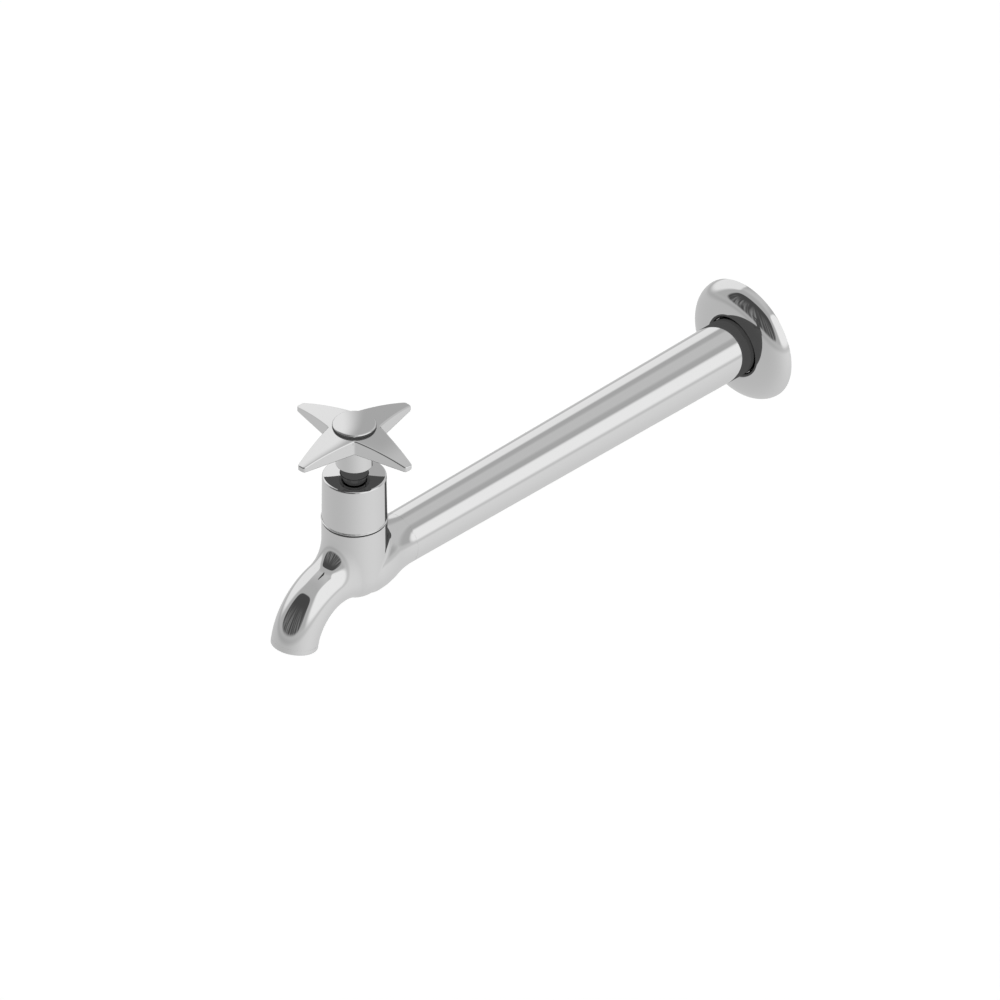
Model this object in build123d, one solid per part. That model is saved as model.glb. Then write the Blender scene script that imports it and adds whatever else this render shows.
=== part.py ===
from build123d import *
from math import cos, pi, radians, sin
import os

# Wall-mounted bib tap with a long arm, a rising spindle and a four-arm cross handle.
# All lengths are in millimetres and all angles in degrees.
# The origin is on the wall plane, on the arm's axis. +Y points into the wall, +Z points up.
# Each piece is drawn about the valve's axis and then moved to its place in front of the wall.

# Places of the main axes and seats
valve_reach = 240.4
seam_height = 24.9
shroud_height = 23.0
hub_bottom_height = 53.8
arms_bottom_height = 65.9

# Cast body
body_radius = 14.4
ball_centre_height = -0.2
body_top_chamfer = 0.3
chamber_floor_height = 5.0
bridge_thickness = 2.6
pocket_radius = 6.0
pocket_depth = 11.0
inlet_port_radius = 5.4
inlet_port_height = -3.4
inlet_passage_radius = 8.0
inlet_passage_start = 13.0
outlet_port_radius = 5.4
outlet_port_height = 12.0
outlet_port_offset = 6.0
outlet_port_slant = 43.0
outlet_port_length = 17.5
seat_bore_radius = 5.8
seat_rim_radius = 7.8
seat_rim_height = 1.2

# Spout
spout_root_height = -1.0
spout_root_radius = 10.8
spout_mouth_radius = 10.45
spout_wall = 2.6
spout_straight_root = 10.6
spout_bend_radius = 26.5
spout_turn = 78.9
spout_straight_end = 2.2
spout_bore_start = 11.5
spout_blend = 12.6
mouth_edge_radius = 0.7
mouth_bore_radius = 8.3
mouth_bore_depth = 8.0

# Arm
arm_radius_at_valve = 11.57
arm_radius_at_wall = 13.21
arm_wall = 2.4
arm_root_radius = 15.15
arm_root_inset = 0.3
arm_root_rise_end = 4.5
arm_root_length = 8.0
arm_root_end = 26.5
arm_blend = 4.0
arm_joint_offset = 30.0
spigot_length = 8.0
braze_gap = 0.05

# Inlet tail, a half-inch pipe thread drawn as its crest cylinder
tail_thread_radius = 10.4775
tail_length = 14.5
tail_chamfer = 1.0
tail_bore_radius = 7.5
tail_plug_length = 14.0

# Headwork, the brass valve bonnet, on its fibre washer
headwork_thread_radius = 10.4775
headwork_thread_gap = 0.05
headwork_engagement = 7.0
headwork_collar_radius = 12.4
headwork_collar_thickness = 2.0
hexagon_across_flats = 21.0
hexagon_height = 7.0
hexagon_corner_cut = 0.6
barrel_radius = 8.95
barrel_top_gap = 0.2
body_washer_thickness = 1.0
body_washer_gap = 0.1

# Shroud over the headwork, and its seal ring
shroud_foot_inset = 0.1
shroud_taper = 0.15
shroud_wall = 1.1
shroud_top_thickness = 1.5
shroud_top_rise = 1.1
shroud_boss_length = 8.5
shroud_thread_gap = 0.05
shroud_hole_gap = 0.12
shroud_edge_radius = 1.0
shroud_bead_radius = 0.4
seal_ring_thickness = 0.9
seal_groove_depth = 0.45
seal_groove_gap = 0.05

# Gland around the spindle
packing_radius = 6.2
packing_gap = 0.05
packing_length = 3.4
follower_thickness = 1.2
follower_gap = 0.1
gland_ceiling_thickness = 2.0
gland_nut_thread_radius = 6.9
gland_nut_thread_gap = 0.05
gland_nut_shoulder_drop = 0.2
gland_nut_neck_radius = 6.15
gland_nut_head_gap = 0.6
gland_nut_chamfer = 0.4
gland_flats_across = 10.4
gland_flats_length = 3.0

# Spindle
spindle_nose_radius = 4.8
spindle_nose_length = 4.5
spindle_nose_chamfer = 0.4
spindle_thread_radius = 5.4
spindle_thread_gap = 0.05
spindle_thread_length = 14.0
spindle_stem_radius = 4.0
spindle_stem_gap = 0.06
spindle_top_gap = 0.1
serration_radius = 3.8
serration_depth = 0.35
serration_count = 20
serration_lead = 0.3
serration_gap = 0.05
spindle_tapping_radius = 2.0
spindle_tapping_depth = 11.5
thread_rise_per_turn = 2.0
turns_to_open = 2.25
open_stop_gap = 0.35

# Jumper valve and its washer
washer_radius = 9.0
washer_thickness = 3.8
washer_hole_radius = 2.5
washer_hole_gap = 0.1
jumper_plate_thickness = 2.4
jumper_stem_radius = 2.5
jumper_stem_gap = 0.1
jumper_stem_length = 12.0
jumper_stud_length = 3.2
washer_nut_across_flats = 7.0
washer_nut_thickness = 2.6

# Cross handle
handle_span = 66.9
handle_rest_turn = 0.5
handle_tip_width = 4.0
handle_tip_thickness = 2.65
handle_tip_corner_radius = 1.5
handle_notch_offset = 8.0
handle_notch_radius = 1.2
handle_thickness = 8.0
handle_edge_radius = 0.45
hub_radius = 8.2
hub_skirt_wall = 1.5
hub_skirt_depth = 6.8
hub_edge_radius = 0.4
recess_radius = 6.6
cap_seat_depth = 0.6
cap_seat_gap = 0.15
recess_depth = 4.2
screw_web_thickness = 1.2
screw_hole_gap = 0.2

# Handle screw and its spring washer
handle_screw_radius = 1.95
handle_screw_length = 10.0
handle_screw_head_radius = 3.5
handle_screw_head_height = 2.0
handle_screw_slot_width = 1.0
handle_screw_slot_depth = 1.0
spring_washer_radius = 3.7
spring_washer_thickness = 0.6
spring_washer_split = 0.8

# Cap over the handle's centre, and its ring
cap_radius = 9.65
cap_gap = 0.05
cap_thickness = 1.8
cap_crown = 0.4
cap_edge_radius = 0.7
cap_spigot_wall = 1.4
cap_spigot_gap = 0.15
cap_spigot_length = 3.3
cap_ring_thickness = 0.9
cap_ring_drop = 1.7
cap_groove_gap = 0.05

# Wall flange and its grip ring
flange_radius = 28.4
flange_depth = 8.35
flange_rim_thickness = 3.35
flange_rim_edge_radius = 0.9
flange_wall = 1.3
flange_crown = 0.7
flange_hole_gap = 0.3
flange_lip_radius = 1.1
flange_lip_length = 2.6
grip_ring_thickness = 2.0
grip_ring_gap = 0.1

# How edges are picked out for rounding
size_match = 0.01
rim_slope_limit = 0.5

# How bars and boxes stand on their end, and how a box starts at the axis
ON_ITS_END = (Align.CENTER, Align.CENTER, Align.MIN)
FROM_AXIS = (Align.MIN, Align.CENTER, Align.MIN)

# Heights and radii worked out from the sizes above
arm_taper = (arm_radius_at_wall - arm_radius_at_valve) / valve_reach
spigot_bore_radius = arm_radius_at_valve + arm_taper * arm_joint_offset - arm_wall
tail_socket_radius = arm_radius_at_wall - arm_wall
tail_plug_start = valve_reach - tail_plug_length
bridge_height = chamber_floor_height - bridge_thickness
seat_height = chamber_floor_height + seat_rim_height
jumper_plate_height = seat_height + washer_thickness
spindle_bottom_height = jumper_plate_height + jumper_plate_thickness
thread_start_height = spindle_bottom_height + spindle_nose_length
thread_end_height = thread_start_height + spindle_thread_length
opening_rise = thread_rise_per_turn * turns_to_open
gland_floor_height = thread_end_height + opening_rise + open_stop_gap
packing_start_height = gland_floor_height + gland_ceiling_thickness
packing_end_height = packing_start_height + packing_length
gland_nut_start_height = packing_end_height + follower_thickness
collar_height = seam_height + body_washer_thickness
hexagon_start_height = collar_height + headwork_collar_thickness
hexagon_end_height = hexagon_start_height + hexagon_height
seal_ring_height = collar_height + headwork_collar_thickness / 2
seal_groove_radius = headwork_collar_radius - seal_groove_depth
shroud_top_height = seam_height + shroud_height
shroud_foot_radius = body_radius - shroud_foot_inset
shroud_top_radius = shroud_foot_radius - shroud_taper
shroud_ceiling_height = shroud_top_height - shroud_top_thickness
shroud_boss_height = shroud_ceiling_height - shroud_boss_length
barrel_top_height = shroud_ceiling_height - barrel_top_gap
handle_top_height = arms_bottom_height + handle_thickness
cap_seat_height = handle_top_height - cap_seat_depth
recess_floor_height = cap_seat_height - recess_depth
skirt_ceiling_height = hub_bottom_height + hub_skirt_depth
gland_nut_top_height = skirt_ceiling_height - gland_nut_head_gap
stem_seat_height = recess_floor_height - screw_web_thickness
spindle_top_height = stem_seat_height - spindle_top_gap
serration_start_height = skirt_ceiling_height - serration_lead
screw_head_height = recess_floor_height + spring_washer_thickness
cap_bottom_height = cap_seat_height + cap_gap
cap_spigot_radius = recess_radius - cap_spigot_gap
cap_ring_height = cap_bottom_height - cap_ring_drop
cap_ring_radius = recess_radius - cap_ring_thickness / 2
flange_hole_radius = arm_radius_at_wall + flange_hole_gap


def arm_radius(offset):
    """Outer radius of the arm at a distance behind the valve's axis."""
    return arm_radius_at_valve + arm_taper * offset


def turned_upright(*outline):
    """Solid turned about the valve's axis from (radius, height) corners."""
    corners = [(radius, 0, height) for radius, height in outline]
    return revolve(make_face(Polyline(*corners, close=True)), Axis.Z)


def turned_along_arm(*outline):
    """Solid turned about the arm's axis from (radius, distance behind the valve's axis) corners."""
    corners = [(radius, offset, 0) for radius, offset in outline]
    return revolve(make_face(Polyline(*corners, close=True)), Axis.Y)


def upright_bar(radius, bottom, top):
    """Round bar on the valve's axis."""
    return Pos(0, 0, bottom) * Cylinder(radius, top - bottom, align=ON_ITS_END)


def upright_tube(outer, inner, bottom, top):
    """Plain ring about the valve's axis."""
    return upright_bar(outer, bottom, top) - upright_bar(inner, bottom, top)


def arm_root():
    """Swollen root of the arm, which runs out into the arm's taper in a smooth reverse curve."""
    joint = arm_joint_offset
    small = arm_radius(arm_root_end)
    drop = arm_root_radius - small
    length = arm_root_end - arm_root_length
    front = (body_radius - arm_root_inset, 0, 0)
    swell_start = (arm_root_radius, arm_root_rise_end, 0)
    swell_end = (arm_root_radius, arm_root_length, 0)
    halfway = (arm_root_radius - drop / 2, arm_root_length + length / 2, 0)
    taper_start = (small, arm_root_end, 0)
    outline = [
        Line((0, 0, 0), front),
        Spline(front, swell_start, tangents=[(0, 1, 0), (0, 1, 0)]),
        Line(swell_start, swell_end),
        TangentArc(swell_end, halfway, tangent=(0, 1, 0)),
        TangentArc(taper_start, halfway, tangent=(0, -1, 0)),
        Line(taper_start, (arm_radius(joint), joint, 0)),
        Line((arm_radius(joint), joint, 0), (0, joint, 0)),
        Line((0, joint, 0), (0, 0, 0)),
    ]
    return revolve(make_face(Wire.combine(outline)[0]), Axis.Y)


def level_bar(radius, start, end, height):
    """Round bar behind the valve's axis, level with or below the arm's axis."""
    lying = Rot(-90, 0, 0) * Cylinder(radius, end - start, align=ON_ITS_END)
    return Pos(0, start, height) * lying


def hexagon_bar(across_flats, bottom, top):
    """Six-sided bar on the valve's axis."""
    outline = RegularPolygon(across_flats / 2, 6, major_radius=False)
    return Pos(0, 0, bottom) * extrude(outline, top - bottom)


def serrated_bar(radius, bottom, top):
    """Bar with pointed teeth all round, as on the spindle's end and in the handle's bore."""
    corners = []
    for corner in range(2 * serration_count):
        angle = pi * corner / serration_count
        reach = radius - serration_depth * (corner % 2)
        corners.append((reach * cos(angle), reach * sin(angle)))
    outline = make_face(Polyline(*corners, close=True))
    return Pos(0, 0, bottom) * extrude(outline, top - bottom)


def rim_edges(shape, place, radius, axis=Axis.Z):
    """Round edges of one radius at one place along an axis."""
    round_edges = shape.edges().filter_by(GeomType.CIRCLE)
    level = round_edges.filter_by_position(axis, place - size_match, place + size_match)
    return level.filter_by(lambda edge: abs(edge.radius - radius) < size_match)


def spout_path(start):
    """Centreline of the spout, from a distance in front of the valve's axis to the mouth."""
    turn = radians(spout_turn)
    skipped = max(start - spout_straight_root, 0) / spout_bend_radius

    def on_bend(angle):
        forward = spout_straight_root + spout_bend_radius * sin(angle)
        drop = spout_bend_radius * (1 - cos(angle))
        return Vector(0, -forward, spout_root_height - drop)

    bend = ThreePointArc(on_bend(skipped), on_bend((skipped + turn) / 2), on_bend(turn))
    outward = Vector(0, -cos(turn), -sin(turn))
    run_out = Line(on_bend(turn), on_bend(turn) + outward * spout_straight_end)
    pieces = [bend, run_out]
    if start < spout_straight_root:
        pieces.insert(0, Line((0, -start, spout_root_height), on_bend(0)))
    return Wire(pieces)


def spout_bar(start, root_radius, mouth_radius):
    """Round bar along the spout's centreline."""
    path = spout_path(start)
    root = Plane(path @ 0, x_dir=(1, 0, 0), z_dir=path % 0) * Circle(root_radius)
    mouth = Plane(path @ 1, x_dir=(1, 0, 0), z_dir=path % 1) * Circle(mouth_radius)
    return sweep([root.face(), mouth.face()], path=path, multisection=True)


def mouth_bore():
    """Straight bore drilled up into the spout's mouth."""
    path = spout_path(0)
    mouth = Plane(path @ 1, x_dir=(1, 0, 0), z_dir=path % 1)
    from_below = (Align.CENTER, Align.CENTER, Align.MAX)
    return mouth * Cylinder(mouth_bore_radius, mouth_bore_depth, align=from_below)


def root_edges(shape, side):
    """Edges where the spout (side -1) or the arm (side 1) meets the body's wall."""
    found = []
    for edge in shape.edges():
        box = edge.bounding_box()
        nearest, farthest = sorted((box.min.Y * side, box.max.Y * side))
        crosses_wall = nearest > body_radius / 3 and farthest < body_radius + 1
        if crosses_wall and box.size.length > body_radius / 3:
            found.append(edge)
    return found


def waterway():
    """Everything cut from the casting: inlet, pocket, seat bore, chamber, outlet port and spout."""
    chamber_radius = headwork_thread_radius + headwork_thread_gap
    water = upright_bar(chamber_radius, chamber_floor_height, seam_height)
    water -= upright_bar(seat_rim_radius, chamber_floor_height, seat_height)
    water += upright_bar(seat_bore_radius, bridge_height, seat_height)
    water += upright_bar(pocket_radius, bridge_height - pocket_depth, bridge_height)
    water += level_bar(inlet_port_radius, 0, inlet_passage_start, inlet_port_height)
    spigot_end = arm_joint_offset + spigot_length
    water += level_bar(inlet_passage_radius, inlet_passage_start, spigot_end, 0)
    port = Rot(180 - outlet_port_slant, 0, 0) * Cylinder(
        outlet_port_radius, outlet_port_length, align=ON_ITS_END
    )
    water += Pos(0, -outlet_port_offset, outlet_port_height) * port
    bore_radius = spout_mouth_radius - spout_wall
    water += spout_bar(spout_bore_start, bore_radius, bore_radius)
    return water + mouth_bore()


def tap_body():
    """Casting with a ball-ended upright chamber, the bent spout and the root of the arm."""
    joint = arm_joint_offset
    body = upright_bar(body_radius, ball_centre_height, seam_height)
    body += Pos(0, 0, ball_centre_height) * Sphere(body_radius)
    body += spout_bar(0, spout_root_radius, spout_mouth_radius)
    body = fillet(root_edges(body, -1), spout_blend)
    body += arm_root()
    body = fillet(root_edges(body, 1), arm_blend)
    body += level_bar(spigot_bore_radius - braze_gap, joint, joint + spigot_length, 0)
    body -= waterway()
    body = chamfer(rim_edges(body, seam_height, body_radius), body_top_chamfer)
    mouth = body.faces().filter_by(GeomType.PLANE).sort_by(Axis.Z)[0]
    return fillet(mouth.edges(), mouth_edge_radius)


def arm_tube():
    """Tapered tube brazed over the body's spigot, with a socket for the tail at the wall end."""
    joint = arm_joint_offset
    return turned_along_arm(
        (spigot_bore_radius, joint),
        (arm_radius(joint), joint),
        (arm_radius_at_wall, valve_reach),
        (tail_socket_radius, valve_reach),
        (tail_socket_radius, tail_plug_start),
        (arm_radius(tail_plug_start) - arm_wall, tail_plug_start),
    )


def inlet_tail():
    """Threaded nipple brazed into the arm's wall end, which screws into the pipe in the wall."""
    plug_radius = tail_socket_radius - braze_gap
    tail_end = valve_reach + tail_length
    return turned_along_arm(
        (tail_bore_radius, tail_plug_start),
        (plug_radius, tail_plug_start),
        (plug_radius, valve_reach),
        (tail_thread_radius, valve_reach),
        (tail_thread_radius, tail_end - tail_chamfer),
        (tail_thread_radius - tail_chamfer, tail_end),
        (tail_bore_radius, tail_end),
    )


def body_washer():
    """Fibre washer between the casting and the headwork's collar."""
    inner = headwork_thread_radius + body_washer_gap
    return upright_tube(headwork_collar_radius, inner, seam_height, collar_height)


def headwork_body():
    """Brass bonnet with a thread into the casting, a grooved collar, a hexagon and the gland box."""
    thread_bore = spindle_thread_radius + spindle_thread_gap
    thread_start = seam_height - headwork_engagement
    stem_bore = spindle_stem_radius + spindle_stem_gap
    packing_bore = packing_radius + packing_gap
    nut_bore = gland_nut_thread_radius + gland_nut_thread_gap
    turned = turned_upright(
        (thread_bore, thread_start),
        (headwork_thread_radius, thread_start),
        (headwork_thread_radius, collar_height),
        (headwork_collar_radius, collar_height),
        (headwork_collar_radius, hexagon_start_height),
        (barrel_radius, hexagon_start_height),
        (barrel_radius, barrel_top_height),
        (nut_bore, barrel_top_height),
        (nut_bore, gland_nut_start_height),
        (packing_bore, gland_nut_start_height),
        (packing_bore, packing_start_height),
        (stem_bore, packing_start_height),
        (stem_bore, gland_floor_height),
        (thread_bore, gland_floor_height),
    )
    corner_radius = hexagon_across_flats / 2 / cos(pi / 6) - hexagon_corner_cut / 2
    hexagon = hexagon_bar(hexagon_across_flats, hexagon_start_height, hexagon_end_height)
    hexagon &= upright_tube(corner_radius, barrel_radius, hexagon_start_height, hexagon_end_height)
    half_groove = seal_ring_thickness / 2 + seal_groove_gap
    groove = upright_tube(
        body_radius,
        seal_groove_radius - seal_groove_gap,
        seal_ring_height - half_groove,
        seal_ring_height + half_groove,
    )
    return turned + hexagon - groove


def shroud_ring():
    """Rubber ring in the collar's groove, which steadies the shroud and keeps water out."""
    ring_radius = seal_groove_radius + seal_ring_thickness / 2
    return Pos(0, 0, seal_ring_height) * Torus(ring_radius, seal_ring_thickness / 2)


def bonnet_shroud():
    """Plated cover with a low cone on top and a small bead round its foot on the casting's rim."""
    skirt_radius = shroud_foot_radius - shroud_taper - shroud_wall
    bead_height = seam_height + shroud_bead_radius
    thread_radius = barrel_radius + shroud_thread_gap
    hole_radius = gland_nut_neck_radius + shroud_hole_gap
    shroud = turned_upright(
        (skirt_radius, seam_height),
        (shroud_foot_radius, seam_height),
        (shroud_top_radius, shroud_top_height),
        (hole_radius, shroud_top_height + shroud_top_rise),
        (hole_radius, shroud_ceiling_height),
        (thread_radius, shroud_ceiling_height),
        (thread_radius, shroud_boss_height),
        (skirt_radius, shroud_boss_height),
    )
    shroud = fillet(rim_edges(shroud, shroud_top_height, shroud_top_radius), shroud_edge_radius)
    return shroud + Pos(0, 0, bead_height) * Torus(shroud_foot_radius, shroud_bead_radius)


def gland_packing():
    """Packing ring that seals the turning spindle."""
    inner = spindle_stem_radius + spindle_stem_gap
    return upright_tube(packing_radius, inner, packing_start_height, packing_end_height)


def gland_follower():
    """Brass ring that spreads the gland nut's load over the packing."""
    outer = packing_radius - follower_gap
    inner = spindle_stem_radius + follower_gap
    return upright_tube(outer, inner, packing_end_height, gland_nut_start_height)


def gland_nut():
    """Nut that presses on the packing, with the long neck that shows below the handle's hub."""
    stem_bore = spindle_stem_radius + follower_gap
    shoulder_height = barrel_top_height - gland_nut_shoulder_drop
    nut = turned_upright(
        (stem_bore, gland_nut_start_height),
        (gland_nut_thread_radius, gland_nut_start_height),
        (gland_nut_thread_radius, shoulder_height),
        (gland_nut_neck_radius, shoulder_height),
        (gland_nut_neck_radius, gland_nut_top_height - gland_nut_chamfer),
        (gland_nut_neck_radius - gland_nut_chamfer, gland_nut_top_height),
        (stem_bore, gland_nut_top_height),
    )
    flats_height = gland_nut_top_height - gland_flats_length
    neck_width = 2 * gland_nut_neck_radius
    waste = Box(neck_width, neck_width, gland_flats_length, align=ON_ITS_END)
    for side in (-1, 1):
        waste_centre = side * (gland_flats_across + neck_width) / 2
        nut -= Pos(waste_centre, 0, flats_height) * waste
    return nut


def jumper_valve():
    """Loose valve plate with a stem up into the spindle and a stud down through its washer."""
    stud_radius = washer_hole_radius - washer_hole_gap
    stud_bottom = seat_height - jumper_stud_length
    stem_top = spindle_bottom_height + jumper_stem_length
    return turned_upright(
        (0, stud_bottom),
        (stud_radius, stud_bottom),
        (stud_radius, jumper_plate_height),
        (washer_radius, jumper_plate_height),
        (washer_radius, spindle_bottom_height),
        (jumper_stem_radius, spindle_bottom_height),
        (jumper_stem_radius, stem_top),
        (0, stem_top),
    )


def tap_washer():
    """Rubber washer that closes on the seat."""
    return upright_tube(washer_radius, washer_hole_radius, seat_height, jumper_plate_height)


def washer_nut():
    """Small nut that holds the washer on the jumper valve's stud."""
    bottom = seat_height - washer_nut_thickness
    nut = hexagon_bar(washer_nut_across_flats, bottom, seat_height)
    return nut - upright_bar(washer_hole_radius, bottom, seat_height)


def spindle():
    """Turned spindle: nose on the valve plate, lifting thread, stem and serrated handle end."""
    turned = turned_upright(
        (0, spindle_bottom_height),
        (spindle_nose_radius - spindle_nose_chamfer, spindle_bottom_height),
        (spindle_nose_radius, spindle_bottom_height + spindle_nose_chamfer),
        (spindle_nose_radius, thread_start_height),
        (spindle_thread_radius, thread_start_height),
        (spindle_thread_radius, thread_end_height),
        (spindle_stem_radius, thread_end_height),
        (spindle_stem_radius, serration_start_height),
        (0, serration_start_height),
    )
    turned += serrated_bar(serration_radius, serration_start_height, spindle_top_height)
    tapping_bottom = spindle_top_height - spindle_tapping_depth
    turned -= upright_bar(spindle_tapping_radius, tapping_bottom, spindle_top_height)
    stem_hole_radius = jumper_stem_radius + jumper_stem_gap
    stem_hole_top = spindle_bottom_height + jumper_stem_length + jumper_stem_radius
    return turned - upright_bar(stem_hole_radius, spindle_bottom_height, stem_hole_top)


def handle_plan():
    """Four-pointed outline with rounded notches and rounded tips."""
    reach = handle_span / 2
    half_tip = handle_tip_width / 2
    notch = handle_notch_offset
    corners = []
    for turn_x, turn_y in ((1, 0), (0, 1), (-1, 0), (0, -1)):
        for along, across in ((reach, -half_tip), (reach, half_tip), (notch, notch)):
            corners.append((turn_x * along - turn_y * across, turn_y * along + turn_x * across))
    plan = make_face(Polyline(*corners, close=True))
    by_reach = plan.vertices().group_by(lambda corner: round(corner.center().length, 2))
    plan = fillet(by_reach[0], handle_notch_radius)
    by_reach = plan.vertices().group_by(lambda corner: round(corner.center().length, 2))
    return fillet(by_reach[-1], handle_tip_corner_radius)


def cross_handle():
    """Four-arm handle under a low dome, with a skirted hub and a recess for the cap."""
    fall = handle_thickness - handle_tip_thickness
    dome_radius = ((handle_span / 2) ** 2 + fall**2) / (2 * fall)
    dome = Pos(0, 0, handle_top_height - dome_radius) * Sphere(dome_radius)
    cross = Pos(0, 0, arms_bottom_height) * extrude(handle_plan(), handle_thickness)
    cross &= dome
    rims = [edge for edge in cross.edges() if abs((edge % 0.5).Z) < rim_slope_limit]
    cross = fillet(rims, handle_edge_radius)
    cross += upright_bar(hub_radius, hub_bottom_height, cap_seat_height)
    cross -= upright_bar(cap_radius + cap_seat_gap, cap_seat_height, handle_top_height)
    cross -= upright_bar(recess_radius, recess_floor_height, cap_seat_height)
    cross -= upright_bar(handle_screw_radius + screw_hole_gap, stem_seat_height, recess_floor_height)
    cross -= serrated_bar(serration_radius + serration_gap, skirt_ceiling_height, stem_seat_height)
    cross -= upright_bar(hub_radius - hub_skirt_wall, hub_bottom_height, skirt_ceiling_height)
    cross = fillet(rim_edges(cross, hub_bottom_height, hub_radius), hub_edge_radius)
    return Rot(0, 0, handle_rest_turn) * cross


def spring_washer():
    """Split washer under the handle screw's head."""
    inner = handle_screw_radius + screw_hole_gap
    ring = upright_tube(spring_washer_radius, inner, recess_floor_height, screw_head_height)
    split = Box(spring_washer_radius, spring_washer_split, spring_washer_thickness, align=FROM_AXIS)
    return ring - Pos(0, 0, recess_floor_height) * split


def handle_screw():
    """Slotted screw that holds the handle down on the spindle."""
    head_top = screw_head_height + handle_screw_head_height
    head = upright_bar(handle_screw_head_radius, screw_head_height, head_top)
    shank_end = screw_head_height - handle_screw_length
    shank = upright_bar(handle_screw_radius, shank_end, screw_head_height)
    slot_length = 2 * handle_screw_head_radius
    slot = Box(slot_length, handle_screw_slot_width, handle_screw_slot_depth, align=ON_ITS_END)
    return head + shank - Pos(0, 0, head_top - handle_screw_slot_depth) * slot


def handle_cap():
    """Low-domed plated button with a hollow spigot that plugs into the handle's recess."""
    rim_height = cap_bottom_height + cap_thickness
    spigot_bottom = cap_bottom_height - cap_spigot_length
    spigot_bore = cap_spigot_radius - cap_spigot_wall
    dome_height = rim_height + cap_crown
    quarter_drop = cap_crown / 4
    outline = [
        Line((0, 0, cap_bottom_height), (spigot_bore, 0, cap_bottom_height)),
        Line((spigot_bore, 0, cap_bottom_height), (spigot_bore, 0, spigot_bottom)),
        Line((spigot_bore, 0, spigot_bottom), (cap_spigot_radius, 0, spigot_bottom)),
        Line((cap_spigot_radius, 0, spigot_bottom), (cap_spigot_radius, 0, cap_bottom_height)),
        Line((cap_spigot_radius, 0, cap_bottom_height), (cap_radius, 0, cap_bottom_height)),
        Line((cap_radius, 0, cap_bottom_height), (cap_radius, 0, rim_height)),
        ThreePointArc(
            (cap_radius, 0, rim_height),
            (cap_radius / 2, 0, dome_height - quarter_drop),
            (0, 0, dome_height),
        ),
        Line((0, 0, dome_height), (0, 0, cap_bottom_height)),
    ]
    cap = revolve(make_face(Wire.combine(outline)[0]), Axis.Z)
    cap = fillet(rim_edges(cap, rim_height, cap_radius), cap_edge_radius)
    half_groove = cap_ring_thickness / 2 + cap_groove_gap
    groove_floor = cap_ring_radius - half_groove
    bottom = cap_ring_height - half_groove
    return cap - upright_tube(recess_radius, groove_floor, bottom, bottom + 2 * half_groove)


def cap_ring():
    """Rubber ring that holds the cap in the handle's recess."""
    return Pos(0, 0, cap_ring_height) * Torus(cap_ring_radius, cap_ring_thickness / 2)


def flange_point(radius, depth):
    """Point of the flange's outline, by its radius and its distance in front of the wall."""
    return Vector(radius, valve_reach - depth, 0)


def wall_flange():
    """Pressed dish with a low crown and a rolled-in lip, which slides on the arm."""
    lip_start = flange_hole_radius + flange_lip_radius
    lip_end_depth = flange_depth - flange_lip_radius - flange_lip_length
    inside_hole = flange_hole_radius + flange_wall
    inside_rim = flange_radius - flange_wall
    crown_radius = (flange_radius + lip_start) / 2
    crown_depth = (flange_rim_thickness + flange_depth) / 2 + flange_crown
    diagonal = flange_lip_radius * sin(radians(45))
    lip_middle = flange_point(lip_start - diagonal, flange_depth - flange_lip_radius + diagonal)
    outline = [
        Line(flange_point(flange_radius, 0), flange_point(flange_radius, flange_rim_thickness)),
        ThreePointArc(
            flange_point(flange_radius, flange_rim_thickness),
            flange_point(crown_radius, crown_depth),
            flange_point(lip_start, flange_depth),
        ),
        ThreePointArc(
            flange_point(lip_start, flange_depth),
            lip_middle,
            flange_point(flange_hole_radius, flange_depth - flange_lip_radius),
        ),
        Line(
            flange_point(flange_hole_radius, flange_depth - flange_lip_radius),
            flange_point(flange_hole_radius, lip_end_depth),
        ),
        Line(flange_point(flange_hole_radius, lip_end_depth), flange_point(inside_hole, lip_end_depth)),
        Line(
            flange_point(inside_hole, lip_end_depth),
            flange_point(inside_hole, flange_depth - flange_wall),
        ),
        ThreePointArc(
            flange_point(inside_hole, flange_depth - flange_wall),
            flange_point(crown_radius, crown_depth - flange_wall),
            flange_point(inside_rim, flange_rim_thickness - flange_wall / 2),
        ),
        Line(flange_point(inside_rim, flange_rim_thickness - flange_wall / 2), flange_point(inside_rim, 0)),
        Line(flange_point(inside_rim, 0), flange_point(flange_radius, 0)),
    ]
    dish = revolve(make_face(Wire.combine(outline)[0]), Axis.Y)
    rim = rim_edges(dish, valve_reach - flange_rim_thickness, flange_radius, Axis.Y)
    return fillet(rim, flange_rim_edge_radius)


def grip_ring():
    """Rubber ring behind the flange's lip, which centres the flange on the arm."""
    lip_end_depth = flange_depth - flange_lip_radius - flange_lip_length
    ring_radius = arm_radius_at_wall + grip_ring_gap + grip_ring_thickness / 2
    ring = Rot(90, 0, 0) * Torus(ring_radius, grip_ring_thickness / 2)
    return Pos(0, valve_reach - lip_end_depth + grip_ring_thickness / 2, 0) * ring


pieces = (
    tap_body,
    arm_tube,
    inlet_tail,
    body_washer,
    headwork_body,
    shroud_ring,
    bonnet_shroud,
    gland_packing,
    gland_follower,
    gland_nut,
    jumper_valve,
    tap_washer,
    washer_nut,
    spindle,
    cross_handle,
    spring_washer,
    handle_screw,
    handle_cap,
    cap_ring,
    wall_flange,
    grip_ring,
)

os.makedirs("parts", exist_ok=True)
for piece in pieces:
    shape = Pos(0, -valve_reach, 0) * piece()
    shape.label = piece.__name__
    export_step(shape, f"parts/{piece.__name__}.step")
    print(piece.__name__, "volume", round(shape.volume))
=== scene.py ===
from math import atan2, cos, degrees, pi, radians, sin, tau

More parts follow.
